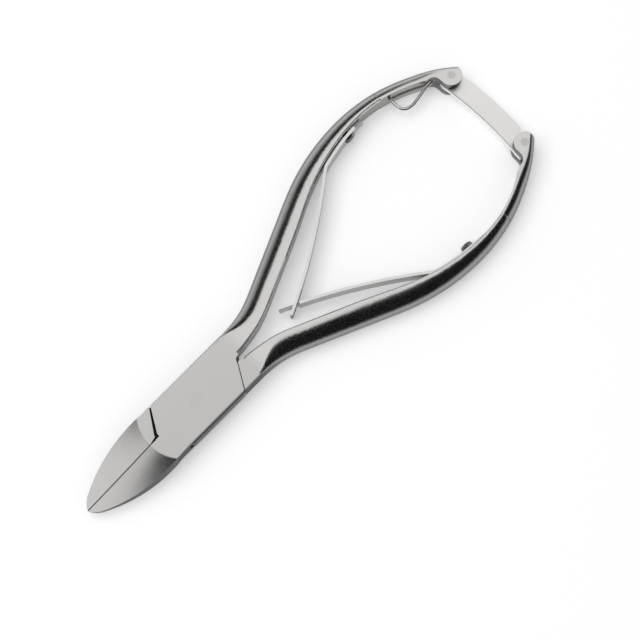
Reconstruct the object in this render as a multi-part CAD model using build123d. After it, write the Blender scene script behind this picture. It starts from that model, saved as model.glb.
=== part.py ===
from build123d import *

import os
from math import atan2, cos, degrees, radians, sin, sqrt, tan

# Plier-type nail nipper, closed and latched.
# Origin: on the joint rivet's axis, in the plane of the back faces. +X points to the handle
# ends, +Y to the slotted half's handle, +Z out of the front face. Millimetres.

# Joint
THICK = 7.0            # box and handles, back face to front face
MID_Z = THICK / 2
BODY_HALF = 6.68       # half the width of the box
PLATE = 2.2            # front and back plates of the box
SIDE_PLAY = 0.05       # between a plate and the tongue
TONGUE_PROUD = 0.35    # tongue beyond the box's sides
SLOT_R = 11.3          # round end walls of the slot, about the rivet
TONGUE_R = 10.7        # round ends of the tongue
SHOULDER_INNER = (12.5, 0.7)
SHOULDER_OUTER = (8.9, BODY_HALF)
SHOULDER_GAP = 0.3
EDGE_BREAK = 0.22      # chamfer of the box's and jaws' long edges

# Rivet
RIVET_R = 1.5
RIVET_HEAD_R = 1.85
RIVET_SINK = 0.6
RUNNING_GAP = 0.05

# Jaws
TIP_X = -36.4
JAW_GAP = 0.03         # each cutting edge stands this far off the centre line
JAW_ROOT_X = -12.5     # the jaws are as wide as the box behind this
NOSE = (-33.9, 2.5)
CHEEK = (-24.3, 5.85)  # widest part of the jaw's curved side
JAW_DRAFT = 0.3        # the side wall leans out by this from front to back
GRIND_CENTRE_X = -4.7
GRIND_R = 10.9         # where the hollow grind leaves the flat face
TIP_FRONT = 3.2        # height of the ground front face at the tip
TIP_BACK = 1.5         # height of the ground back face at the tip

# Handles
FLARE_X = 13.3         # the outer edge leaves the box here
FLARE_R = 30.0
FLARE_DEG = 24.1
BOW_X = 72.0           # widest point of the bow
BOW_Y = 24.6
BOW_R_FRONT = 56.6
BOW_R_REAR = 46.2
EASE = 2               # the outline's curvature changes over this length each way
ROOT_WIDTH = 5.7
END_WIDTH = 2.75
TAPER_FROM = 42.0
TAPER_TO = 92.0
HANDLE_EDGE = 0.3      # chamfer along the flat inner face
ROOT_X = 14.0          # first section of the handle
BOX_END = 14.2         # the box's straight body runs to here
CROTCH = ((12.5, -1.5), (12.5, -0.5), (13.0, 0.2))  # hollow between the handles' roots
LAST_X = 98.0          # last one, inside the knob
SECTIONS = 25
CROWN = (0.88, 3.08)   # crown of the outer side: share of the width, and drop
CROWN_FROM = 13.0
CROWN_FULL = 24.0
FLAT_FROM = 82.0       # towards the knob the crown shrinks again
FLAT_TO = 96.0

# Forked knobs, latch bar and its pins
KNOB = (99.6, 12.2)
KNOB_R = 3.2
KNOB_ROUND = 0.45
LOBE = ((95.1, 15.4), (96.3, 14.35), (96.48, 12.92))  # hollow between handle and knob
FORK_X = 86.0          # bottom of the saw cut
FORK_GAP = 1.9
PIN_R = 1.0
BAR_THICK = 1.5
BAR_HALF = 2.75
BAR_R = sqrt(KNOB[0] ** 2 + KNOB[1] ** 2)
PIN_DEG = degrees(atan2(KNOB[1], KNOB[0]))

# Leaf springs and their screws
LEAF_THICK = 0.7
LEAF_WIDTH = 4.8
LEAF_SEAT_GAP = 0.03
LEAF_DEPART_X = 62.3
LEAF_TAIL_X = 76.5
LEAF_BEND_R = 5.0
LEAF_BEND_DEG = 22.8
LEAF_SWEEP_R = 162.0
LEAF_SWEEP_DEG = 12.3
SCREW_X = 71.5
SCREW_HEAD_R = 1.6
SCREW_HEAD = 1.0
SCREW_SHANK_R = 0.8
SCREW_DEPTH = 2.6

# Latch wire spring
WIRE_R = 0.45
WIRE_ANCHOR_X = 85.2


def raw_outer_y(x):
    """Outer edge of the upper handle in plan: flare, straight run, then the two bowing arcs."""
    flare_end = FLARE_X + FLARE_R * sin(radians(FLARE_DEG))
    bow_start = BOW_X - BOW_R_FRONT * sin(radians(FLARE_DEG))
    if x <= FLARE_X:
        return BODY_HALF
    if x <= flare_end:
        return BODY_HALF + FLARE_R - sqrt(FLARE_R ** 2 - (x - FLARE_X) ** 2)
    if x <= bow_start:
        low = BODY_HALF + FLARE_R * (1 - cos(radians(FLARE_DEG)))
        high = BOW_Y - BOW_R_FRONT * (1 - cos(radians(FLARE_DEG)))
        return low + (high - low) * (x - flare_end) / (bow_start - flare_end)
    radius = BOW_R_FRONT if x < BOW_X else BOW_R_REAR
    return BOW_Y - radius + sqrt(radius ** 2 - (x - BOW_X) ** 2)


def outer_y(x):
    """The outer edge with its changes of curvature eased."""
    around = [raw_outer_y(x + 0.5 * step) for step in range(-2 * EASE, 2 * EASE + 1)]
    return sum(around) / len(around)


def ramp(x, start, end):
    """0 before start, 1 after end, with a smooth step between."""
    along = min(max((x - start) / (end - start), 0), 1)
    return along * along * (3 - 2 * along)


def inner_y(x):
    """Flat inner face of the upper handle in plan."""
    width = ROOT_WIDTH + (END_WIDTH - ROOT_WIDTH) * ramp(x, TAPER_FROM, TAPER_TO)
    slope = outer_y(x + 0.5) - outer_y(x - 0.5)
    return outer_y(x) - width * sqrt(1 + slope ** 2)


def inner_normal(x):
    """Unit normal of the inner face, pointing out of the handle towards the centre line."""
    slope = inner_y(x + 0.5) - inner_y(x - 0.5)
    length = sqrt(1 + slope ** 2)
    return Vector(slope / length, -1 / length, 0)


def plate_prism(points, z_low=0.0, z_high=THICK):
    """A straight-sided prism between two heights."""
    face = make_face(Polyline(*points, close=True))
    return extrude(Plane.XY.offset(z_low) * face, amount=z_high - z_low)


def shoulder(gap, sign):
    """Points of one shoulder line, moved off the box by gap; sign +1 is the jaw end."""
    inner = (-SHOULDER_INNER[0] - gap, SHOULDER_INNER[1])
    outer = (-SHOULDER_OUTER[0] - gap, SHOULDER_OUTER[1])
    rise = (outer[1] - inner[1]) / (outer[0] - inner[0])
    far = (outer[0] + 3.0 / rise, outer[1] + 3.0)
    return [(sign * x, sign * y) for x, y in (inner, far)]


def jaw_outline(wider):
    """Plan of the +Y jaw, nose to box, its curved side moved out by wider."""
    nose = (NOSE[0], NOSE[1] + 0.5 * wider)
    tip = (TIP_X, JAW_GAP)
    return make_face([
        Line((0, JAW_GAP), tip),
        ThreePointArc(tip, (-35.65, 1.15 + 0.3 * wider), nose),
        ThreePointArc(nose, (CHEEK[0], CHEEK[1] + wider), (JAW_ROOT_X, BODY_HALF)),
        Line((JAW_ROOT_X, BODY_HALF), (0, BODY_HALF)),
        Line((0, BODY_HALF), (0, JAW_GAP)),
    ])


def jaw_blank():
    """Full-thickness jaw on the +Y side, its curved side leaning out towards the back."""
    back = Plane.XY * jaw_outline(JAW_DRAFT)
    front = Plane.XY.offset(THICK) * jaw_outline(0)
    return loft([back, front], ruled=True)


def ground_away(start_r, start_z, tip_z, slope, far_z):
    """What a wheel takes from one face of the jaws, from start_r about its centre to the tip."""
    reach = GRIND_CENTRE_X - TIP_X + 1
    flow = Spline((start_r, start_z), (reach, tip_z), tangents=[(1, slope), (1, 0.35 * slope)])
    profile = [
        flow,
        Line((reach, tip_z), (reach, far_z)),
        Line((reach, far_z), (start_r, far_z)),
        Line((start_r, far_z), (start_r, start_z)),
    ]
    swept = revolve(Plane.XZ * make_face(profile), Axis.Z, 180)
    return Pos(GRIND_CENTRE_X, 0, 0) * Rot(0, 0, 90) * swept


def hollow_grind():
    """The hollow ground into the front of the jaws and the shallow taper of their back."""
    front = ground_away(GRIND_R, THICK, TIP_FRONT, -0.26, THICK + 2)
    back = ground_away(GRIND_R + 1.5, 0, TIP_BACK, 0.03, -2)
    return front + back


def handle_section(x):
    """One section of the upper handle: flat inner side, broken corners, crowned outer side."""
    inner = inner_y(x)
    outer = outer_y(x)
    width = outer - inner
    share = ramp(x, CROWN_FROM, CROWN_FULL) * (1 - 0.55 * ramp(x, FLAT_FROM, FLAT_TO))
    crown = 0.5 + (CROWN[0] * width - 0.5) * share
    drop = 0.5 + (CROWN[1] - 0.5) * share
    start = outer - crown
    edge = HANDLE_EDGE
    sides = [
        Line((inner, edge), (inner, THICK - edge)),
        Line((inner, THICK - edge), (inner + edge, THICK)),
        Line((inner + edge, THICK), (start, THICK)),
        EllipticalCenterArc((start, THICK - drop), crown, drop, 0, arc_size=90),
        Line((outer, THICK - drop), (outer, drop)),
        EllipticalCenterArc((start, drop), crown, drop, 270, arc_size=90),
        Line((start, 0), (inner + edge, 0)),
        Line((inner + edge, 0), (inner, edge)),
    ]
    return Plane.YZ.offset(x) * make_face(sides)


def knob():
    """Flat round end of the handle, with the hollow that runs into the handle's inner face."""
    x, y = KNOB
    start, middle, end = LOBE
    diagonal = KNOB_R * cos(radians(45))
    outline = [
        ThreePointArc(start, middle, end),
        ThreePointArc(end, (x, y - KNOB_R), (x + KNOB_R, y)),
        ThreePointArc((x + KNOB_R, y), (x + diagonal, y + diagonal), (x, y + KNOB_R)),
        Line((x, y + KNOB_R), start),
    ]
    blank = extrude(make_face(outline), amount=THICK)
    return fillet(blank.edges().filter_by(GeomType.CIRCLE), KNOB_ROUND)


def handle():
    """The upper handle: lofted bow, knob, saw cut, pin hole and screw hole."""
    spacing = (LAST_X - ROOT_X) / (SECTIONS - 1)
    bow = loft([handle_section(ROOT_X + n * spacing) for n in range(SECTIONS)])
    bow = bow + knob()
    saw_cut = Box(30, 20, FORK_GAP, align=(Align.MIN, Align.CENTER, Align.CENTER))
    bow = bow - Pos(FORK_X, KNOB[1] + 4, MID_Z) * saw_cut
    bow = bow - Pos(KNOB[0], KNOB[1], MID_Z) * Cylinder(PIN_R, 2 * THICK)
    hole = Cylinder(SCREW_SHANK_R, SCREW_DEPTH + 1, align=(Align.CENTER, Align.CENTER, Align.MIN))
    return bow - screw_plane() * Pos(0, 0, -SCREW_DEPTH) * hole


def screw_plane():
    """On the inner face at the spring screw, its z out of the handle."""
    normal = inner_normal(SCREW_X)
    return Plane(origin=(SCREW_X, inner_y(SCREW_X), MID_Z), x_dir=(0, 0, 1), z_dir=normal)


def box_half():
    """Slotted half: lower jaw, two plates round the slot, upper handle."""
    jaw = mirror(jaw_blank(), about=Plane.XZ)
    strip = plate_prism([(JAW_ROOT_X, 0), (0, 0), (0, -BODY_HALF), (BOX_END, -BODY_HALF),
                         (BOX_END, BODY_HALF), (JAW_ROOT_X, BODY_HALF)])
    blank = jaw + strip
    inner, far = shoulder(0, 1)
    jaw_room = [(-40, -JAW_GAP), (inner[0] - 0.4, -JAW_GAP), inner, far, (-40, far[1])]
    inner, far = shoulder(0, -1)
    handle_room = [(30, inner[1] - 0.1), (inner[0], inner[1] - 0.1), far, (30, far[1])]
    blank = blank - plate_prism(jaw_room) - plate_prism(handle_room)
    start, low, high = CROTCH
    crotch = [start, (30, start[1]), (30, inner_y(30)), (15.5, inner_y(15.5)), high, low]
    blank = blank - plate_prism(crotch)
    blank = break_side_edges(blank)
    gap = (PLATE, THICK - PLATE)
    blank = blank - Pos(0, 0, MID_Z) * Cylinder(SLOT_R, gap[1] - gap[0])
    blank = blank - plate_prism([(-20, 0), (0, 0), (0, 9), (-20, 9)], *gap)
    blank = blank - plate_prism([(20, 0), (0, 0), (0, -9), (20, -9)], *gap)
    whole = blank + handle() - hollow_grind() - joint_rivet()
    return whole - latch_wire_spring()


def plate_room(z_low, z_high):
    """What one plate of the box sweeps clear of the solid half, shoulder to shoulder."""
    jaw_inner, jaw_far = shoulder(SHOULDER_GAP, 1)
    handle_inner, handle_far = shoulder(SHOULDER_GAP, -1)
    corners = [jaw_far, jaw_inner, (jaw_inner[0], handle_far[1]),
               handle_far, handle_inner, (handle_inner[0], jaw_far[1])]
    return plate_prism(corners, z_low, z_high)


def tongue_half():
    """Solid half: upper jaw, tongue through the slot, lower handle."""
    jaw = jaw_blank()
    inner, far = shoulder(SHOULDER_GAP, 1)
    jaw = jaw & plate_prism([(-40, 0), inner, far, (-40, far[1])])
    inner, far = shoulder(SHOULDER_GAP, -1)
    root = plate_prism([inner, (BOX_END, inner[1]), (BOX_END, -BODY_HALF), (far[0], -BODY_HALF)])
    root = root & plate_prism([inner, far, (20, far[1]), (20, inner[1])])
    body = break_side_edges(jaw) + break_side_edges(root)
    layer = (PLATE + SIDE_PLAY, THICK - PLATE - SIDE_PLAY)
    side = BODY_HALF + TONGUE_PROUD
    tongue = Pos(0, 0, MID_Z) * Cylinder(TONGUE_R, layer[1] - layer[0])
    tongue = tongue & plate_prism([(-12, -side), (12, -side), (12, side), (-12, side)])
    neck = [(0, 0.3), (-14, 0.3), (-14, 5.9), (-9.6, side - 0.6), (-8.6, side), (0, side)]
    neck = plate_prism(neck, *layer)
    tongue = tongue + neck + Rot(0, 0, 180) * neck
    whole = body + mirror(handle(), about=Plane.XZ) - plate_room(0, layer[0])
    whole = whole - plate_room(layer[1], THICK) + tongue - hollow_grind()
    return whole - Pos(0, 0, MID_Z) * Cylinder(RIVET_R + RUNNING_GAP, 2 * THICK)


def break_side_edges(solid):
    """Chamfer the long front and back edges at the box's sides."""
    edges = [
        e for e in solid.edges().filter_by(Axis.X)
        if abs(abs(e.center().Y) - BODY_HALF) < 0.01
    ]
    return chamfer(edges, EDGE_BREAK)


def joint_rivet():
    """Shank with countersunk ends, ground flush with both plates."""
    cone = Cone(RIVET_R, RIVET_HEAD_R, RIVET_SINK, align=(Align.CENTER, Align.CENTER, Align.MAX))
    shank = Cylinder(RIVET_R, THICK, align=(Align.CENTER, Align.CENTER, Align.MIN))
    return shank + Pos(0, 0, THICK) * cone + Rot(180, 0, 0) * cone


def leaf_path():
    """Centre line of the upper leaf: along the handle's inner face, a tight bend, a long sweep."""
    off = LEAF_THICK / 2 + LEAF_SEAT_GAP
    seat = []
    for x in (LEAF_TAIL_X, 72.0, 67.0, LEAF_DEPART_X):
        seat.append(Vector(x, inner_y(x), 0) + inner_normal(x) * off)
    on_handle = Spline(*seat)
    bend = JernArc(on_handle @ 1, on_handle % 1, LEAF_BEND_R, LEAF_BEND_DEG)
    sweep_arc = JernArc(bend @ 1, bend % 1, LEAF_SWEEP_R, -LEAF_SWEEP_DEG)
    return Wire([on_handle, bend, sweep_arc])


def leaf_blank():
    """The upper leaf at full width, with its screw hole and narrow tail."""
    path = leaf_path()
    section = Plane(origin=path @ 0, x_dir=(0, 0, 1), z_dir=path % 0)
    leaf = Pos(0, 0, MID_Z) * sweep(section * Rectangle(LEAF_WIDTH, LEAF_THICK), path=path)
    for z in (MID_Z - 2.3, MID_Z + 2.3):
        leaf = leaf - Pos(76.5, 19, z) * Box(5.6, 5, 2.2)
    return leaf - screw_plane() * Cylinder(SCREW_SHANK_R + 0.2, 4)


def left_leaf_spring():
    """Upper leaf, its tip slit into two prongs."""
    slit = Pos(31.5, 0, MID_Z) * Box(11, 8, 2.2)
    return leaf_blank() - slit


def right_leaf_spring():
    """Lower leaf, its tip narrowed to a tongue that passes between the prongs."""
    leaf = mirror(leaf_blank(), about=Plane.XZ)
    for z in (MID_Z - 1.9, MID_Z + 1.9):
        leaf = leaf - Pos(30.5, 0, z) * Box(9, 8, 2.2)
    return leaf


def spring_screw():
    """Domed slotted screw in the upper handle."""
    head = Cylinder(SCREW_HEAD_R, SCREW_HEAD, align=(Align.CENTER, Align.CENTER, Align.MIN))
    rim = head.edges().filter_by(GeomType.CIRCLE).sort_by(Axis.Z)[-1]
    head = fillet(rim, 0.75 * SCREW_HEAD)
    head = head - Pos(0, 0, SCREW_HEAD) * Box(0.4, 4, 0.8)
    shank_length = SCREW_DEPTH + LEAF_THICK + 2 * LEAF_SEAT_GAP
    shank = Cylinder(SCREW_SHANK_R, shank_length, align=(Align.CENTER, Align.CENTER, Align.MAX))
    lift = LEAF_THICK + 2 * LEAF_SEAT_GAP
    return screw_plane() * Pos(0, 0, lift) * (head + shank)


def polar(radius, angle):
    """A point in plan at a radius and angle from the rivet."""
    return (radius * cos(radians(angle)), radius * sin(radians(angle)))


def latch_bar():
    """Arc plate on the pivot pin; its hooked end reaches round the catch pin."""
    outside = BAR_R + BAR_HALF
    inside = BAR_R - BAR_HALF
    floor = BAR_R - PIN_R - 0.25
    lip_top = BAR_R - 0.5
    lip_wall = -PIN_DEG - 0.84
    outline = [
        ThreePointArc(polar(outside, PIN_DEG), polar(outside, 1.0), polar(outside, -4.9)),
        Line(polar(outside, -4.9), polar(floor, -6.0)),
        Line(polar(floor, -6.0), polar(floor, lip_wall)),
        Line(polar(floor, lip_wall), polar(lip_top, lip_wall)),
        Line(polar(lip_top, lip_wall), polar(lip_top - 0.5, lip_wall - 0.62)),
        Line(polar(lip_top - 0.5, lip_wall - 0.62), polar(inside + 0.8, lip_wall - 0.75)),
        Line(polar(inside + 0.8, lip_wall - 0.75), polar(inside, lip_wall - 0.3)),
        ThreePointArc(polar(inside, lip_wall - 0.3), polar(inside, -1.0), polar(inside, PIN_DEG)),
        Line(polar(inside, PIN_DEG), polar(outside, PIN_DEG)),
    ]
    plan = make_face(outline) + Pos(*KNOB) * Circle(BAR_HALF)
    plan = plan - Pos(*KNOB) * Circle(PIN_R + RUNNING_GAP)
    bar = extrude(Plane.XY.offset(MID_Z - BAR_THICK / 2) * plan, amount=BAR_THICK)
    long_edges = bar.edges().filter_by(GeomType.CIRCLE)
    long_edges = [e for e in long_edges if e.length > 20]
    return chamfer(long_edges, 0.2)


def fork_pin():
    """Pin through the upper knob, its ends flush with the cheeks."""
    return Pos(KNOB[0], KNOB[1], MID_Z) * Cylinder(PIN_R, THICK)


def latch_wire_spring():
    """Bent wire from the upper handle's inner face into the fork, behind the bar's heel."""
    top = inner_y(WIRE_ANCHOR_X) + 1.4
    path = Spline((WIRE_ANCHOR_X, top), (WIRE_ANCHOR_X - 0.2, 16.0), (86.7, 14.5), (89.6, 14.05),
                  (93.2, 14.35), (97.2, 14.95), tangents=[(-0.05, -1), (1, 0)])
    wire = sweep(Plane(origin=path @ 0, z_dir=path % 0) * Circle(WIRE_R), path=path)
    return Pos(0, 0, MID_Z) * wire


def lower(solid):
    """The same piece on the lower handle."""
    return mirror(solid, about=Plane.XZ)


PIECES = {
    "box_half": box_half,
    "tongue_half": tongue_half,
    "joint_rivet": joint_rivet,
    "left_leaf_spring": left_leaf_spring,
    "right_leaf_spring": right_leaf_spring,
    "left_spring_screw": spring_screw,
    "right_spring_screw": lambda: lower(spring_screw()),
    "latch_bar": latch_bar,
    "latch_pivot_pin": fork_pin,
    "latch_wire_spring": latch_wire_spring,
    "catch_pin": lambda: lower(fork_pin()),
}

os.makedirs("parts", exist_ok=True)
for name, make in PIECES.items():
    piece = make()
    export_step(piece, f"parts/{name}.step")
    box = piece.bounding_box()
    print(name, [round(v, 2) for v in (*box.min, *box.max)], "volume", round(piece.volume, 2))
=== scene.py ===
from math import cos, radians, sin

import bmesh
import bpy
from mathutils import Matrix, Vector


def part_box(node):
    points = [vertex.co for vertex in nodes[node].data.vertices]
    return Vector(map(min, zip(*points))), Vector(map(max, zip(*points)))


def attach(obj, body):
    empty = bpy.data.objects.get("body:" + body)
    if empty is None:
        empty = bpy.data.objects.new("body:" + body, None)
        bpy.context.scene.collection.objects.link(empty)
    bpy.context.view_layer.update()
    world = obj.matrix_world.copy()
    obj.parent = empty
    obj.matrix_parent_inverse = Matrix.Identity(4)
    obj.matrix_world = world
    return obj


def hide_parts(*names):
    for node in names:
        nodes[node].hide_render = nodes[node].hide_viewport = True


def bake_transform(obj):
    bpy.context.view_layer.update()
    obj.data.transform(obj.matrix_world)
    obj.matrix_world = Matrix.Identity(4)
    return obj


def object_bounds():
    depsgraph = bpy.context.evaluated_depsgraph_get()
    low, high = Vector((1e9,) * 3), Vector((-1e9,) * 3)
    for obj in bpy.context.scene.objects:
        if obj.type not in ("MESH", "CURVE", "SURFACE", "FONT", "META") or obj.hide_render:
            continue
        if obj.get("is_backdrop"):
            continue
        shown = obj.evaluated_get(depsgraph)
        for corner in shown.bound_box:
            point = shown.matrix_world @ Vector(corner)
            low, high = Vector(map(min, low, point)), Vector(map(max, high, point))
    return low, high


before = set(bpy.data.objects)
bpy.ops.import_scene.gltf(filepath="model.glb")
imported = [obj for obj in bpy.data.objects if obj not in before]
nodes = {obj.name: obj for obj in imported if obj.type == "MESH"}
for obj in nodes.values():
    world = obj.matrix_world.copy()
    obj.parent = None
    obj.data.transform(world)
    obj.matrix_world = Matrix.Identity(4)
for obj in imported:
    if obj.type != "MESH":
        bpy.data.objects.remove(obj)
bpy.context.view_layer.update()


# ---- The two forged halves -------------------------------------------------------------
# Stainless forgings. The box and the shoulders are surface-ground to an even satin, the
# handles are belt-finished along their length, and the jaws are hollow-ground on a wheel,
# which leaves fine arcs about the middle of the box. Their side walls and the handles' outer
# rims carry painted shade in darker greys, and the faces inside the box joint and along the
# jaws' meeting line carry painted shade in near black.

class Signal:
    """One socket of a finish, so that shader maths reads as plain Python."""

    def __init__(self, finish, socket):
        self.finish = finish
        self.socket = socket

    def maths(self, operation, *values):
        return self.finish.node("ShaderNodeMath", {"operation": operation}, dict(enumerate(values)))

    def __add__(self, other):
        return self.maths("ADD", self, other)

    def __sub__(self, other):
        return self.maths("SUBTRACT", self, other)

    def __rsub__(self, other):
        return self.maths("SUBTRACT", other, self)

    def __mul__(self, other):
        return self.maths("MULTIPLY", self, other)

    __radd__ = __add__
    __rmul__ = __mul__

    def size(self):
        return self.maths("ABSOLUTE", self)

    def step(self, start, end):
        """0 below start, 1 above end, a soft step between; start may be the larger."""
        settings = {"interpolation_type": "SMOOTHSTEP"}
        sockets = {"Value": self, "From Min": start, "From Max": end}
        return self.finish.node("ShaderNodeMapRange", settings, sockets)


class Wiring:
    """The nodes of one material, or of the tent round the tool."""

    def __init__(self, tree):
        self.tree = tree

    def node(self, kind, settings, sockets, output=0):
        """A node of that kind: its settings first, then the values or links of its sockets."""
        made = self.tree.nodes.new(kind)
        for key, value in settings.items():
            setattr(made, key, value)
        for key, value in sockets.items():
            if isinstance(value, Signal):
                self.tree.links.new(value.socket, made.inputs[key])
            else:
                made.inputs[key].default_value = value
        return Signal(self, made.outputs[output])

    def show(self, signal, output="Material Output"):
        """Makes that shader the one that is seen."""
        self.tree.links.new(signal.socket, self.tree.nodes[output].inputs["Surface"])


class Finish(Wiring):
    """A metal finish: one material with one metallic shader."""

    def __init__(self, name, colour, roughness, metallic=1.0):
        self.material = bpy.data.materials.new(name)
        self.material.use_nodes = True
        super().__init__(self.material.node_tree)
        self.shader = self.tree.nodes["Principled BSDF"]
        self.shader.inputs["Metallic"].default_value = metallic
        self.shader.inputs["Base Color"].default_value = (*colour, 1)
        self.shader.inputs["Roughness"].default_value = roughness

    def place(self):
        """Object coordinates, in metres."""
        return self.node("ShaderNodeTexCoord", {}, {}, "Object")

    def split(self, vector):
        """The three parts of a vector."""
        parts = self.node("ShaderNodeSeparateXYZ", {}, {0: vector})
        outputs = parts.socket.node.outputs
        return [Signal(self, outputs[i]) for i in range(3)]

    def noise(self, vector, scale, detail=2.0):
        """Soft noise about 0.5, with scale counts per metre along x, y and z."""
        stretched = self.node("ShaderNodeMapping", {}, {"Vector": vector, "Scale": scale})
        sockets = {"Vector": stretched, "Scale": 1.0, "Detail": detail}
        return self.node("ShaderNodeTexNoise", {}, sockets)

    def mix(self, factor, first, second):
        """A colour between two."""
        sockets = {0: factor, 6: first, 7: second}
        return self.node("ShaderNodeMix", {"data_type": "RGBA"}, sockets, 2)

    def feed(self, name, signal):
        self.tree.links.new(signal.socket, self.shader.inputs[name])

    def bump(self, height, depth, strength=1.0):
        """Relief of that depth, in metres."""
        sockets = {"Strength": strength, "Distance": depth, "Height": height}
        self.feed("Normal", self.node("ShaderNodeBump", {}, sockets))


def grey(level, warmth=0.0):
    """A near-neutral steel colour."""
    return (level * (1 + warmth), level, level * (1 - warmth), 1)


BOX_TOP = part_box("joint_rivet")[1].z
BOX_END = 0.0142
GRIND_CENTRE = Vector((-0.0047, 0, 0))
GRIND_START = 0.0109
GRIND_BAND = (GRIND_START, GRIND_START + 0.0002)
JAW_BAND = (-0.0120, -0.0124)
UNDER_TOP = (BOX_TOP - 0.00001, BOX_TOP - 0.00006)
HANDLE_BAND = (BOX_END, BOX_END + 0.004)
# Painted shade on the side walls of the box and jaws and on the handles' outer rims, where they
# face sideways.
WALL_SHADE_BAND = (0.022, BOX_END)
WALL_SHADE_LEAN = (0.55, 0.95)
RIM_SHADE_LEAN = (0.45, 0.80)
# Painted shade, near black, on the faces inside the box joint.
JOINT_SHADE_FROM = (-0.0138, -0.0134)
JOINT_SHADE_TO = (BOX_END, BOX_END - 0.0004)
JOINT_SHADE_BELOW = (0.0064, 0.0060)
JOINT_SHADE_WITHIN = (0.0067, 0.0066)
# Painted shade, near black, along the line where the jaws meet.
MEETING_SHADE_WITHIN = (0.00016, 0.00008)
MEETING_SHADE_FROM = (-0.0135, -0.0138)

GROUND_STEEL = (grey(0.57, 0.014), grey(0.68, 0.014))
# The wall and rim greys are painted shade, darker than the ground steel.
WALL_PAINTED_SHADE = (grey(0.14), grey(0.19))
RIM_PAINTED_SHADE = (grey(0.26), grey(0.32))
# Near-black painted shade for the joint's insides and the jaws' meeting line.
PAINTED_SHADE_BLACK = grey(0.02)
EDGE_TINT = (0.5, 0.5, 0.5, 1)
FINE_GRAIN = (9000, 9000, 9000)
BELT_GRAIN = (160, 5200, 5200)
WHEEL_RINGS, WHEEL_ACROSS, WHEEL_ALONG = 4200, 120, 90
FORGING_CLOUDS = (55, 120, 120)
GROUND_ROUGHNESS = 0.32


def forged_steel(name):
    """Ground flats, belted handles and hollow-ground jaws, told apart by where they lie; painted
    shade on the walls, the rims, inside the joint and along the jaws' meeting line.
    """
    steel = Finish(name, (0.6, 0.6, 0.6), GROUND_ROUGHNESS)
    steel.shader.inputs["Specular Tint"].default_value = EDGE_TINT
    place = steel.place()
    x, y, z = steel.split(place)
    flat = steel.node("ShaderNodeCombineXYZ", {}, {0: x, 1: y})
    sockets = {0: flat, 1: GRIND_CENTRE}
    radius = steel.node("ShaderNodeVectorMath", {"operation": "DISTANCE"}, sockets, "Value")

    jaw = radius.step(*GRIND_BAND) * x.step(*JAW_BAND) * z.step(*UNDER_TOP)
    handle = x.step(*HANDLE_BAND)
    # Painted shade on walls and rims, by how far each corner faces sideways; the handle's inner
    # face gets none.
    painted_shade_lean = steel.node("ShaderNodeAttribute", {"attribute_name": "painted_shade_lean"}, {}, "Fac")
    wall_shade = painted_shade_lean.step(*WALL_SHADE_LEAN) * x.step(*WALL_SHADE_BAND)
    rim = painted_shade_lean.step(*RIM_SHADE_LEAN) * handle
    # Painted shade, near black, on the faces inside the box joint.
    joint_shade = x.step(*JOINT_SHADE_FROM) * x.step(*JOINT_SHADE_TO)
    joint_shade = joint_shade * z.step(*JOINT_SHADE_BELOW) * y.size().step(*JOINT_SHADE_WITHIN)
    # Painted shade, near black, along the line where the jaws meet.
    edge = y.size().step(*MEETING_SHADE_WITHIN) * x.step(*MEETING_SHADE_FROM)

    fine = steel.noise(place, FINE_GRAIN, 3.0)
    belt = steel.noise(place, BELT_GRAIN, 3.0)
    sockets = {0: radius * WHEEL_RINGS, 1: y * WHEEL_ACROSS, 2: x * WHEEL_ALONG}
    wheel = steel.noise(steel.node("ShaderNodeCombineXYZ", {}, sockets), (1, 1, 1), 3.0)
    cloud = steel.noise(place, FORGING_CLOUDS, 2.0)
    grain = fine + (belt - fine) * handle
    grain = grain + (wheel - grain) * jaw
    tone = (grain - 0.5) * 0.3 + (cloud - 0.5) * 0.3 + 0.5

    ground = steel.mix(tone, *GROUND_STEEL)
    # Painted shade: darker greys on the sideways-facing walls and rims.
    painted_wall_shade = steel.mix(tone, *WALL_PAINTED_SHADE)
    painted_rim_shade = steel.mix(tone, *RIM_PAINTED_SHADE)
    colour = steel.mix(wall_shade, steel.mix(rim, ground, painted_rim_shade), painted_wall_shade)
    # Painted shade, near black, inside the joint and along the jaws' meeting line.
    steel.feed("Base Color", steel.mix(joint_shade + edge, colour, PAINTED_SHADE_BLACK))
    rough = GROUND_ROUGHNESS - handle * 0.14 - jaw * 0.1
    steel.feed("Roughness", rough + (grain - 0.5) * 0.1 + (cloud - 0.5) * 0.06)
    steel.bump(grain, 0.000004, 0.2)
    return steel.material


def linked(name, data):
    """A new object in the scene: a mesh, a lamp or the camera."""
    made = bpy.data.objects.new(name, data)
    bpy.context.scene.collection.objects.link(made)
    return made


def from_bmesh(name, bm):
    """A new object with the shape that was built."""
    mesh = bpy.data.meshes.new(name)
    bm.to_mesh(mesh)
    bm.free()
    return linked(name, mesh)


def combine(body, tool, operation):
    """Joins, cuts or trims a solid with another one, which is used up."""
    modifier = body.modifiers.new("cut", "BOOLEAN")
    modifier.operation = operation
    modifier.solver = "EXACT"
    modifier.object = tool
    view = bpy.context.evaluated_depsgraph_get()
    body.data = bpy.data.meshes.new_from_object(body.evaluated_get(view))
    body.modifiers.clear()
    bpy.data.objects.remove(tool)


def prism(name, outline, side, low, high):
    """An upright prism on an outline in plan, on that side of the tool."""
    bm = bmesh.new()
    rim = [bm.verts.new((x, side * y, low)) for x, y in outline]
    face = bm.faces.new(rim)
    made = bmesh.ops.extrude_face_region(bm, geom=[face])["geom"]
    top = [g for g in made if isinstance(g, bmesh.types.BMVert)]
    bmesh.ops.translate(bm, verts=top, vec=(0, 0, high - low))
    bmesh.ops.recalc_face_normals(bm, faces=bm.faces[:])
    return from_bmesh(name, bm)


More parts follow.
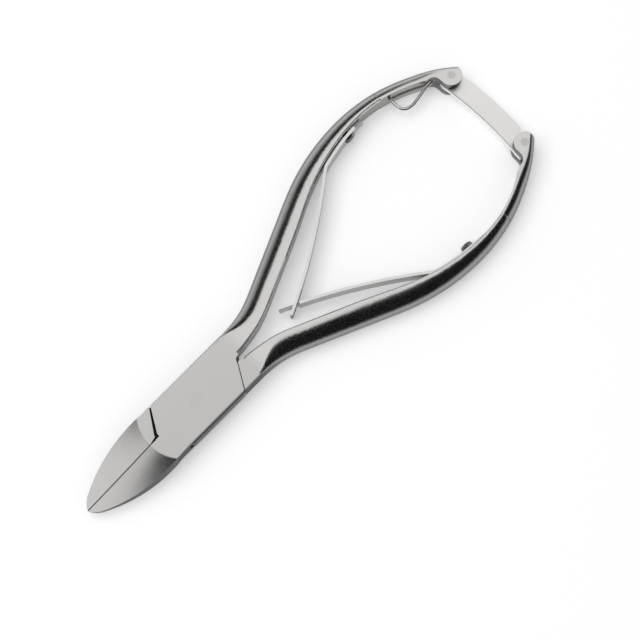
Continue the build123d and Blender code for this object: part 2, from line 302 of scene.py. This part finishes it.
def arc(centre, radius, start, end, steps, growth=0.0):
    """Points of an arc in plan, between two bearings in degrees; its radius may grow."""
    points = []
    for n in range(steps + 1):
        turn = radians(start + (end - start) * n / steps)
        reach = radius + growth * n / steps
        points.append((centre[0] + reach * cos(turn), centre[1] + reach * sin(turn)))
    return points


BOW_CENTRE = (0.072, -0.0216)
BOW_R = 0.04617
BOW_BEARING, BOW_SWEEP, BOW_STEPS = 78, -31, 52
BOW_DEPTH = 0.009
CROWN = (0.00268, 0.00308)
CROWN_STEP = 9
CROWN_LOSS = 0.36
CROWN_LOSS_START, CROWN_LOSS_RUN = 0.0910, 0.008


def crowned_end(side):
    """The end of the bow: its crowned section spun on about the bow's centre."""
    bm = bmesh.new()
    across, drop = CROWN
    lower = []
    for lean in range(0, 91, CROWN_STEP):
        reach = BOW_R - across + across * sin(radians(lean))
        lower.append((reach, drop - drop * cos(radians(lean))))
    upper = [(reach, BOX_TOP - z) for reach, z in reversed(lower)]
    profile = [(BOW_R - BOW_DEPTH, 0)] + lower + upper + [(BOW_R - BOW_DEPTH, BOX_TOP)]
    verts = [bm.verts.new((BOW_CENTRE[0] + reach, BOW_CENTRE[1], z)) for reach, z in profile]
    face = bm.faces.new(verts)
    centre = (*BOW_CENTRE, 0)
    turn = Matrix.Rotation(radians(BOW_BEARING), 3, "Z")
    bmesh.ops.rotate(bm, verts=verts, cent=centre, matrix=turn)
    bmesh.ops.spin(bm, geom=[face], axis=(0, 0, 1), cent=centre, angle=radians(BOW_SWEEP),
                   steps=BOW_STEPS)
    for v in bm.verts:
        share = min(max((v.co.x - CROWN_LOSS_START) / CROWN_LOSS_RUN, 0), 1)
        shrink = 1 - CROWN_LOSS * share * share * (3 - 2 * share)
        spoke = v.co.xy - Vector(BOW_CENTRE)
        inset = BOW_R - spoke.length
        if inset < across:
            spoke *= (BOW_R - inset * shrink) / spoke.length
            v.co.xy = spoke + Vector(BOW_CENTRE)
        depth = min(v.co.z, BOX_TOP - v.co.z) * shrink
        v.co.z = depth if v.co.z < BOX_TOP / 2 else BOX_TOP - depth
    bmesh.ops.scale(bm, verts=bm.verts[:], vec=(1, side, 1))
    bmesh.ops.recalc_face_normals(bm, faces=bm.faces[:])
    return from_bmesh("crowned_end", bm)


pin_low, pin_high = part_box("latch_pivot_pin")
PIN_PLACE = (pin_low + pin_high).xy / 2
PIN_R = (pin_high - pin_low).x / 2
KNOB_CUT = 0.0830
KNOB_R = 0.0028
KNOB_SHIFT = 0.0002
END_WIDTH = 0.00303
END_TAPER = 0.00028
HOLLOW_CENTRE, HOLLOW_R = (0.09495, 0.0136), 0.0018
POINT_CENTRE, POINT_R = (0.10102, 0.01258), 0.00135
OUTSIDE = ((0.1000, 0.0162), (0.0970, 0.0190), (0.0900, 0.0240), (0.0810, 0.0270))


def knob_outline():
    """Plan of the forked end: the hollow behind the lobe, the lobe, and the rounded point."""
    inner = arc(BOW_CENTRE, BOW_R - END_WIDTH, 77.25, 58.5, 25, END_TAPER)
    hollow = arc(HOLLOW_CENTRE, HOLLOW_R, 78, 8, 8)
    lobe = arc((PIN_PLACE.x, PIN_PLACE.y + KNOB_SHIFT), KNOB_R, 172, 358, 28)
    point = arc(POINT_CENTRE, POINT_R, 10, 48, 6)
    return inner + hollow + lobe + point + list(OUTSIDE)


def part_at_cut(bm, away):
    """Cuts a solid across the bow and keeps the part on one side, its cut face closed."""
    geom = bm.verts[:] + bm.edges[:] + bm.faces[:]
    bmesh.ops.bisect_plane(bm, geom=geom, dist=1e-7, plane_co=(KNOB_CUT, 0, 0),
                           plane_no=(away, 0, 0), clear_outer=True)
    bmesh.ops.holes_fill(bm, edges=[e for e in bm.edges if e.is_boundary])


END_CHAMFER = 0.00018
CHAMFERED_FROM = 60


def soften(solid):
    """Breaks the sharp edges of a forked end, then cuts it to meet the handle."""
    bm = bmesh.new()
    bm.from_mesh(solid.data)
    bmesh.ops.remove_doubles(bm, verts=bm.verts[:], dist=1e-6)
    sharp = radians(CHAMFERED_FROM)
    edges = [e for e in bm.edges if e.is_manifold and e.calc_face_angle() > sharp]
    bmesh.ops.bevel(bm, geom=edges, offset=END_CHAMFER, segments=1, profile=0.5,
                    affect="EDGES", material=-1, clamp_overlap=True)
    part_at_cut(bm, -1)
    bm.to_mesh(solid.data)
    bm.free()


MEETING_START = -0.0134
MEETING_Y = 0.00003
RELIEF, RELIEF_FROM, RELIEF_RUN = 0.0007, -0.04, 0.0272
SEAM = ((-0.0124, -0.0001), (-0.0022, -0.0001), (-0.0022, 0.0001), (-0.0124, 0.0001))
SEAM_DEPTH = 0.0021
SHOULDER_GAP = ((-0.0125, 0.0003), (-0.01335, 0.0003), (-0.0133, 0.0009), (-0.00915, 0.0070),
                (-0.0087, 0.0070))
SHOULDER_DEPTH = 0.00221
SAW_CUT = ((0.086, 0.0), (0.110, 0.0), (0.110, 0.030), (0.086, 0.030))
SAW_LOW, SAW_HIGH = 0.00255, 0.00445
BELOW, ABOVE = -0.001, 0.008


def forging(node, name, side):
    """One half of the tool: its jaw and box as machined, its forked end shaped and joined on."""
    bm = bmesh.new()
    bm.from_mesh(nodes[node].data)
    bmesh.ops.remove_doubles(bm, verts=bm.verts[:], dist=1e-7)
    for v in bm.verts:
        edge_y = RELIEF * (v.co.x - RELIEF_FROM) / RELIEF_RUN
        if side < 0 and v.co.x < MEETING_START and abs(v.co.y - edge_y) < MEETING_Y:
            v.co.y = MEETING_Y
    part_at_cut(bm, 1)
    body = from_bmesh(name, bm)
    if side > 0:
        combine(body, prism("seam", SEAM, 1, 0, SEAM_DEPTH), "UNION")
        combine(body, prism("seam", SEAM, 1, BOX_TOP - SEAM_DEPTH, BOX_TOP), "UNION")
    else:
        gap = prism("shoulder_gap", SHOULDER_GAP, 1, BELOW, SHOULDER_DEPTH)
        combine(body, gap, "DIFFERENCE")
        gap = prism("shoulder_gap", SHOULDER_GAP, 1, BOX_TOP - SHOULDER_DEPTH, ABOVE)
        combine(body, gap, "DIFFERENCE")
    end = crowned_end(side)
    combine(end, prism("knob_plan", knob_outline(), side, BELOW, ABOVE), "INTERSECT")
    combine(end, prism("saw_cut", SAW_CUT, side, SAW_LOW, SAW_HIGH), "DIFFERENCE")
    pin_hole = arc(PIN_PLACE, PIN_R, 0, 345, 23)
    combine(end, prism("pin_hole", pin_hole, side, BELOW, ABOVE), "DIFFERENCE")
    soften(end)
    combine(body, end, "UNION")
    return body


SHARP_FROM = 28
GROUND_SHARP_FROM = 12
LOBE_START = 0.0945
FLAT = 0.9999
NEARLY_FLAT = 0.885


def mark_painted_shade_lean(mesh, side):
    """Writes how far each corner faces sideways, the mask of the painted shade on walls and rims;
    none on the handle's inner face, which gets no painted shade.
    """
    values = []
    for loop, normal in zip(mesh.loops, mesh.corner_normals):
        x = mesh.vertices[loop.vertex_index].co.x
        inside = BOX_END < x < LOBE_START and side * normal.vector.y < 0
        upright = (1 - min(normal.vector.z ** 2, 1)) ** 0.5
        values.append(0 if inside else upright)
    painted_shade_lean = mesh.attributes.new("painted_shade_lean", "FLOAT", "CORNER")
    painted_shade_lean.data.foreach_set("value", values)


def level_flats(mesh):
    """Lights the ground flats as true planes, up to the line where the crown starts."""
    flats = {v for face in mesh.polygons if abs(face.normal.z) > FLAT for v in face.vertices}
    normals = [corner.vector.copy() for corner in mesh.corner_normals]
    for face in mesh.polygons:
        tilt = abs(face.normal.z)
        level = Vector((0, 0, 1 if face.normal.z > 0 else -1))
        for corner, v in zip(face.loop_indices, face.vertices):
            if tilt > FLAT:
                normals[corner] = face.normal.copy()
            elif tilt > NEARLY_FLAT and v in flats and mesh.vertices[v].co.x > BOX_END:
                normals[corner] = level
    mesh.normals_split_custom_set(normals)


def shade(half, side):
    """Smooth crowns between sharp edges; on the ground part even slight edges are sharp."""
    mesh = half.data
    mesh.shade_smooth()
    mesh.set_sharp_from_angle(angle=radians(SHARP_FROM))
    bm = bmesh.new()
    bm.from_mesh(mesh)
    for edge in bm.edges:
        ground = edge.verts[0].co.x < BOX_END and edge.is_manifold
        if ground and edge.calc_face_angle() > radians(GROUND_SHARP_FROM):
            edge.smooth = False
    bm.to_mesh(mesh)
    bm.free()
    mark_painted_shade_lean(mesh, side)
    level_flats(mesh)


halves_steel = forged_steel("forged_satin_steel")
for node, name, body, side in (("box_half", "slotted_forging", "slotted_half", 1),
                               ("tongue_half", "solid_forging", "solid_half", -1)):
    half = forging(node, name, side)
    half.data.materials.clear()
    half.data.materials.append(halves_steel)
    shade(half, side)
    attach(half, body)
    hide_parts(node)


# ---- The joint rivet --------------------------------------------------------------------
# A steel pin driven through both plates and the tongue, its heads spread into countersinks
# and ground off flush. Only a faint ring and a slightly different grain show where it is.

TURNED_RINGS = 5200
TURNED_CLOUDS = (700, 700, 700)


def turned_steel(name, level, roughness, centre):
    """Turned or ground faces with fine rings about an axis along z."""
    steel = Finish(name, (level,) * 3, roughness)
    place = steel.place()
    x, y, z = steel.split(place)
    flat = steel.node("ShaderNodeCombineXYZ", {}, {0: x, 1: y})
    sockets = {0: flat, 1: centre}
    radius = steel.node("ShaderNodeVectorMath", {"operation": "DISTANCE"}, sockets, "Value")
    turned = steel.node("ShaderNodeCombineXYZ", {}, {0: radius, 1: z})
    ring = steel.noise(turned, (TURNED_RINGS, 1, TURNED_RINGS), 2.0)
    cloud = steel.noise(place, TURNED_CLOUDS, 2.0)
    tone = (ring - 0.5) * 0.6 + (cloud - 0.5) * 0.4 + 0.5
    colour = steel.mix(tone, grey(level * 0.92, 0.012), grey(level * 1.1, 0.012))
    steel.feed("Base Color", colour)
    steel.feed("Roughness", (cloud - 0.5) * 0.12 + (ring - 0.5) * 0.08 + roughness)
    steel.bump(ring, 0.000008, 0.3)
    return steel.material


def wear(node, material):
    nodes[node].data.materials.clear()
    nodes[node].data.materials.append(material)


RIVET_LEVEL, RIVET_ROUGHNESS = 0.61, 0.32
RIVET_AXIS = Vector((0, 0, 0))
wear("joint_rivet", turned_steel("rivet_steel", RIVET_LEVEL, RIVET_ROUGHNESS, RIVET_AXIS))


# ---- The leaf springs -------------------------------------------------------------------
# Two strips of spring steel, their upright faces painted dark grey as shade and their top edges
# painted light, each screwed along the flat of its handle and bent away from it. The upper
# leaf's tip is slit into two prongs, and the lower leaf's narrow tongue passes between them,
# so that the two always press on each other.

LEAF_THICK = 0.0007
LEAF_HALF = 0.0024
LEAF_MID_Z = 0.0035
LEAF_SEAT = ((0.07649, 0.02054), (0.0720, 0.02042), (0.0670, 0.01975), (0.062401, 0.018675))
LEAF_HEADING = 195.22
LEAF_BEND = (0.0050, 22.8, 5)
SLIT_SWEEP = (0.1620, -12.9, 30)
TONGUE_SWEEP = (0.1620, -13.25, 30)
TAIL_END = 0.0737
SLIT_HALF = 0.0011
SLIT_END = 0.0360
TONGUE_HALF = 0.0008
TONGUE_END = 0.0334
SAME_PLACE = 1e-7


def smooth_line(name, route, z, order, resolution):
    """A smooth open curve that those points in plan control, at that height."""
    curve = bpy.data.curves.new(name, "CURVE")
    curve.dimensions = "3D"
    curve.resolution_u = resolution
    spline = curve.splines.new("NURBS")
    spline.points.add(len(route) - 1)
    for point, (x, y) in zip(spline.points, route):
        point.co = (x, y, z, 1)
    spline.order_u = order
    spline.use_endpoint_u = True
    return curve


def curve_mesh(curve):
    """The mesh that a curve makes."""
    helper = bpy.data.objects.new(curve.name, curve)
    mesh = bpy.data.meshes.new_from_object(helper)
    bpy.data.objects.remove(helper)
    return mesh


def leaf_line(sweep):
    """Centre line of the upper leaf: on the handle, round the bend, then the long sweep."""
    seat = curve_mesh(smooth_line("leaf_seat", LEAF_SEAT, 0, 3, 8))
    line = [v.co.copy() for v in seat.vertices]
    heading = radians(LEAF_HEADING)
    for radius, turn, steps in (LEAF_BEND, sweep):
        part = radians(turn) / steps
        for _ in range(steps):
            heading += part / 2
            line.append(line[-1] + Vector((cos(heading), sin(heading), 0)) * radius * abs(part))
            heading += part / 2
    return line


LEAF_STREAKS = (120, 300, 6200)
LEAF_CLOUDS = (60, 60, 200)
PAINTED_LEAF_HIGHLIGHT = (LEAF_MID_Z + LEAF_HALF - 0.00004, LEAF_MID_Z + LEAF_HALF)


def spring_steel():
    """Drawn strip: long streaks down the leaf, cloudier where the hardening left its tint; its
    faces painted dark grey as shade, its top edge painted light.
    """
    steel = Finish("strip_spring_steel", (0.6, 0.6, 0.6), 0.28)
    place = steel.place()
    streak = steel.noise(place, LEAF_STREAKS, 3.0)
    cloud = steel.noise(place, LEAF_CLOUDS, 2.0)
    tone = (streak - 0.5) * 0.5 + (cloud - 0.5) * 0.3 + 0.5
    # Painted light on the leaf's top edge, painted shade on its upright faces.
    edge = steel.split(place)[2].step(*PAINTED_LEAF_HIGHLIGHT)
    face = steel.mix(tone, grey(0.3, 0.01), grey(0.4, 0.01))
    steel.feed("Base Color", steel.mix(edge, face, grey(0.74, 0.014)))
    steel.feed("Roughness", (streak - 0.5) * 0.15 + (cloud - 0.5) * 0.1 + 0.27)
    steel.bump(streak, 0.000006, 0.3)
    return steel.material


def upright(edge):
    """True for an edge that stands across the strip."""
    first, second = (v.co for v in edge.verts)
    return abs(first.x - second.x) < SAME_PLACE and abs(first.y - second.y) < SAME_PLACE


def leaf_strip(name, side, slit):
    """One leaf: a strip laid along its line, cut at both ends, then given its thickness."""
    waist = SLIT_HALF if slit else TONGUE_HALF
    tip_x = SLIT_END if slit else TONGUE_END
    line = leaf_line(SLIT_SWEEP if slit else TONGUE_SWEEP)
    bm = bmesh.new()
    across = (-LEAF_HALF, -waist, waist, LEAF_HALF)
    start = [bm.verts.new((line[0].x, side * line[0].y, LEAF_MID_Z + z)) for z in across]
    rails = [bm.edges.new(pair) for pair in zip(start, start[1:])]
    for before, after in zip(line, line[1:]):
        made = bmesh.ops.extrude_edge_only(bm, edges=rails)["geom"]
        verts = [g for g in made if isinstance(g, bmesh.types.BMVert)]
        move = Vector((after.x - before.x, side * (after.y - before.y), 0))
        bmesh.ops.translate(bm, verts=verts, vec=move)
        rails = [g for g in made if isinstance(g, bmesh.types.BMEdge) and upright(g)]
    for cut_x in (tip_x, TAIL_END):
        geom = bm.verts[:] + bm.edges[:] + bm.faces[:]
        bmesh.ops.bisect_plane(bm, geom=geom, plane_co=(cut_x, 0, 0), plane_no=(1, 0, 0))
    doomed = []
    for face in bm.faces:
        middle = face.calc_center_median()
        inner = abs(middle.z - LEAF_MID_Z) < waist
        at_tip = middle.x < tip_x and inner == slit
        at_tail = middle.x > TAIL_END and not inner
        if at_tip or at_tail:
            doomed.append(face)
    bmesh.ops.delete(bm, geom=doomed, context="FACES")
    bmesh.ops.recalc_face_normals(bm, faces=bm.faces[:])
    if sum(f.normal.y for f in bm.faces) < 0:
        bmesh.ops.reverse_faces(bm, faces=bm.faces[:])
    bmesh.ops.solidify(bm, geom=bm.faces[:], thickness=LEAF_THICK)
    bmesh.ops.recalc_face_normals(bm, faces=bm.faces[:])
    return from_bmesh(name, bm)


leaf_finish = spring_steel()
for name, node, root, tip, side in (
        ("left_leaf_strip", "left_leaf_spring", "slotted_half", "left_leaf", 1),
        ("right_leaf_strip", "right_leaf_spring", "solid_half", "right_leaf", -1)):
    leaf = leaf_strip(name, side, side > 0)
    leaf.data.materials.append(leaf_finish)
    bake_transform(leaf)
    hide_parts(node)


# ---- The spring screws ------------------------------------------------------------------
# Small domed screws with one slot, painted dark grey as the dark reflection of their polished
# heads, each turned into the handle's inner face through a hole near the leaf's tail.

RUBBED_PATCHES = (900, 900, 900)
SCREW_SCRATCHES = (6000, 6000, 900)


def dark_steel():
    """Steel painted dark grey as a painted dark reflection, rubbed brighter in patches."""
    steel = Finish("screw_steel_painted_dark", (0.16, 0.16, 0.16), 0.35)
    place = steel.place()
    rub = steel.noise(place, RUBBED_PATCHES, 3.0)
    scratch = steel.noise(place, SCREW_SCRATCHES, 2.0)
    worn = (rub * 0.7 + scratch * 0.3).step(0.5, 0.68)
    # The dark grey base is a painted dark reflection; the lighter patches are rubbed wear.
    steel.feed("Base Color", steel.mix(worn, grey(0.14), grey(0.42)))
    steel.feed("Roughness", 0.42 - worn * 0.14)
    steel.bump(scratch, 0.000008, 0.3)
    return steel.material


screw_finish = dark_steel()
wear("left_spring_screw", screw_finish)
wear("right_spring_screw", screw_finish)


# ---- The latch bar ----------------------------------------------------------------------
# A flat arc-shaped plate, blanked from bright stainless sheet and tumbled, so its faces are
# almost white and its long edges are slightly rounded.

SHEET_SPARKLE = (6500, 6500, 6500)
SHEET_CLOUDS = (180, 180, 180)
SHEET_SCRATCHES = (4200, 240, 240)


def bright_sheet():
    """Tumbled sheet: a fine even sparkle with a few long handling scratches."""
    steel = Finish("tumbled_bright_sheet", (0.85, 0.85, 0.84), 0.45)
    place = steel.place()
    sparkle = steel.noise(place, SHEET_SPARKLE, 3.0)
    cloud = steel.noise(place, SHEET_CLOUDS, 2.0)
    scratch = steel.noise(place, SHEET_SCRATCHES, 1.0).step(0.64, 0.72)
    tone = (sparkle - 0.5) * 0.5 + (cloud - 0.5) * 0.5 + 0.5
    steel.feed("Base Color", steel.mix(tone, grey(0.86, 0.012), grey(0.97, 0.012)))
    steel.feed("Roughness", 0.42 + (sparkle - 0.5) * 0.15 - scratch * 0.12)
    steel.bump(sparkle - scratch * 0.5, 0.000008, 0.3)
    return steel.material


wear("latch_bar", bright_sheet())


# ---- The fork pins ----------------------------------------------------------------------
# Two steel pins, pressed through the forked handle ends and dressed flush. The bar turns
# on the upper one and hooks over the lower one.

PIN_LEVEL, PIN_ROUGHNESS = 0.56, 0.33
for node, name, side in (("latch_pivot_pin", "pivot_pin_steel", 1),
                         ("catch_pin", "catch_pin_steel", -1)):
    axis = Vector((PIN_PLACE.x, side * PIN_PLACE.y, 0))
    wear(node, turned_steel(name, PIN_LEVEL, PIN_ROUGHNESS, axis))


# ---- The latch's wire spring ------------------------------------------------------------
# Hard-drawn polished wire, hooked into the upper handle's inner face. Its free end runs into
# the fork and bears on the bar's heel.

WIRE_LINES = (400, 5200, 5200)
WIRE_CLOUDS = (500, 500, 500)


def drawn_wire():
    """Bright wire with the die's lines along it."""
    steel = Finish("drawn_spring_wire", (0.7, 0.7, 0.69), 0.16)
    place = steel.place()
    line = steel.noise(place, WIRE_LINES, 2.0)
    cloud = steel.noise(place, WIRE_CLOUDS, 2.0)
    tone = line * 0.5 + cloud * 0.5
    steel.feed("Base Color", steel.mix(tone, grey(0.6, 0.02), grey(0.82, 0.02)))
    steel.feed("Roughness", (cloud - 0.5) * 0.1 + (line - 0.5) * 0.08 + 0.17)
    steel.bump(line, 0.000004, 0.3)
    return steel.material


WIRE_R = 0.00046
WIRE_ROUTE = ((0.0855, 0.0206), (0.0856, 0.0186), (0.0852, 0.0158), (0.0872, 0.0141),
              (0.0906, 0.0145), (0.0942, 0.0153), (0.0974, 0.0151))
curve = smooth_line("wire_line", WIRE_ROUTE, BOX_TOP / 2, 4, 12)
curve.bevel_depth = WIRE_R
curve.bevel_resolution = 5
curve.use_fill_caps = True
wire = linked("bent_wire", curve_mesh(curve))
wire.data.materials.clear()
wire.data.materials.append(drawn_wire())
wire.data.shade_smooth()
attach(wire, "slotted_half")
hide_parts("latch_wire_spring")


# ---- The studio -------------------------------------------------------------------------
# A white table in a white tent and one large soft lamp above. Black
# cards to the sides are what gives rounded steel its dark bands.

WHITE = (1, 1, 1, 1)
TENT_LEVEL = 0.45
TABLE_HALF = 3.0
TABLE_COLOUR = (0.9, 0.9, 0.9)
TABLE_GLOW = 0.25


def studio_white(wiring, lit, white):
    """The lit shader, or plain white where the camera, a gloss or a glass looks at it."""
    seen = wiring.node("ShaderNodeLightPath", {}, {}, "Is Camera Ray")
    rays = seen.socket.node.outputs
    for name in ("Is Glossy Ray", "Is Transmission Ray"):
        seen = seen.maths("MAXIMUM", seen, Signal(wiring, rays[name]))
    return wiring.node("ShaderNodeMixShader", {}, {0: seen, 1: lit, 2: white})


world = bpy.data.worlds.new("tent")
bpy.context.scene.world = world
world.use_nodes = True
world.node_tree.nodes.remove(world.node_tree.nodes["Background"])
tent = Wiring(world.node_tree)
dim = tent.node("ShaderNodeBackground", {}, {"Color": WHITE, "Strength": TENT_LEVEL})
plain = tent.node("ShaderNodeBackground", {}, {"Color": WHITE, "Strength": 1.0})
tent.show(studio_white(tent, dim, plain), "World Output")

table_white = Finish("table_white", TABLE_COLOUR, 1.0, 0.0)
table_white.shader.inputs["Specular IOR Level"].default_value = 0.0
matt = Signal(table_white, table_white.shader.outputs[0])
glow = table_white.node("ShaderNodeEmission", {}, {"Color": WHITE, "Strength": TABLE_GLOW})
lifted = table_white.node("ShaderNodeAddShader", {}, {0: matt, 1: glow})
table_white.show(studio_white(table_white, matt, lifted))

bm = bmesh.new()
bmesh.ops.create_grid(bm, x_segments=1, y_segments=1, size=TABLE_HALF)
table = from_bmesh("table", bm)
table.data.materials.append(table_white.material)
table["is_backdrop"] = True
table.location.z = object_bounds()[0].z

middle = Vector((0.033, 0, 0.0035))


LAMP_PLACE = (-0.15, 0.25, 0.9)
LAMP_SIZE = 0.9
LAMP_POWER = 5.0
light = bpy.data.lights.new("top_lamp", "AREA")
light.shape = "SQUARE"
light.size = LAMP_SIZE
light.energy = LAMP_POWER
lamp = linked("top_lamp", light)
lamp.visible_glossy = False
lamp.location = LAMP_PLACE
lamp.rotation_euler = (middle - Vector(LAMP_PLACE)).to_track_quat("-Z", "Y").to_euler()

CARD_FAR = 0.6
CARD_BLACK = 0.012


def card_height(height):
    """Height above the table of a card at so many degrees above it."""
    return CARD_FAR * sin(radians(height)) + middle.z


def card_paint(name, black_above, pale_below, pale):
    """Black card that pales towards its lower edge, between two heights in degrees."""
    paint = Finish(name, (0, 0, 0), 1.0, 0.0)
    paint.tree.nodes.remove(paint.shader)
    sockets = {"Value": paint.split(paint.place())[2], "From Min": card_height(black_above),
               "From Max": card_height(pale_below), "To Min": CARD_BLACK, "To Max": pale}
    fade = paint.node("ShaderNodeMapRange", {"interpolation_type": "SMOOTHSTEP"}, sockets)
    paint.show(paint.node("ShaderNodeEmission", {}, {"Color": WHITE, "Strength": fade}))
    return paint.material


def black_card(name, bearing, sweep, low, high, paint):
    """A curved card round the tool, between two heights in degrees above the table."""
    bm = bmesh.new()
    heights = [radians(low + (high - low) * n / 8) for n in range(9)]
    ends = [bm.verts.new((CARD_FAR * cos(h), 0, CARD_FAR * sin(h))) for h in heights]
    rim = [bm.edges.new(pair) for pair in zip(ends, ends[1:])]
    turn = Matrix.Rotation(radians(bearing - sweep / 2), 3, "Z")
    bmesh.ops.rotate(bm, verts=ends, cent=(0, 0, 0), matrix=turn)
    bmesh.ops.spin(bm, geom=ends + rim, axis=(0, 0, 1), cent=(0, 0, 0), angle=radians(sweep),
                   steps=24)
    bmesh.ops.translate(bm, verts=bm.verts[:], vec=middle)
    card = from_bmesh(name, bm)
    card.data.materials.append(paint)
    card.visible_camera = False
    card.visible_diffuse = False
    card.visible_shadow = False
    card.visible_transmission = False
    card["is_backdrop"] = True


CARDS = (("right_card", -97, 155, 4, 83, 22, 6, 0.4),
         ("left_card", 108, 122, 5, 54, 40, 8, 0.6),
         ("front_card", 196, 48, 12, 67, 56, 30, 0.3))
for name, bearing, sweep, low, high, black_above, pale_below, pale in CARDS:
    paint = card_paint(name + "_paint", black_above, pale_below, pale)
    black_card(name, bearing, sweep, low, high, paint)


# ---- The camera -------------------------------------------------------------------------
# It stands over the jaw end of the tool and looks down its whole length, so that the tool
# lies from corner to corner of the frame.

CAMERA_BEARING = -45.7
CAMERA_HEIGHT = 78.2
CAMERA_FAR = 0.399
CAMERA_SHIFT = (0.00570, -0.00411)
CAMERA_LENS = 93.8
bearing, height = radians(CAMERA_BEARING), radians(CAMERA_HEIGHT)
back = Vector((sin(bearing) * cos(height), -cos(bearing) * cos(height), sin(height)))
right = Vector((cos(bearing), sin(bearing), 0))
up = back.cross(right)
lens = bpy.data.cameras.new("camera")
lens.sensor_width = 36.0
lens.lens = CAMERA_LENS
lens.clip_start = 0.01
lens.clip_end = 20.0
camera = linked("camera", lens)
turn = Matrix((right, up, back)).transposed()
spot = middle + right * CAMERA_SHIFT[0] + up * CAMERA_SHIFT[1] + back * CAMERA_FAR
camera.matrix_world = Matrix.Translation(spot) @ turn.to_4x4()
bpy.context.scene.camera = camera
bpy.context.scene.view_settings.view_transform = "Standard"

low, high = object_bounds()
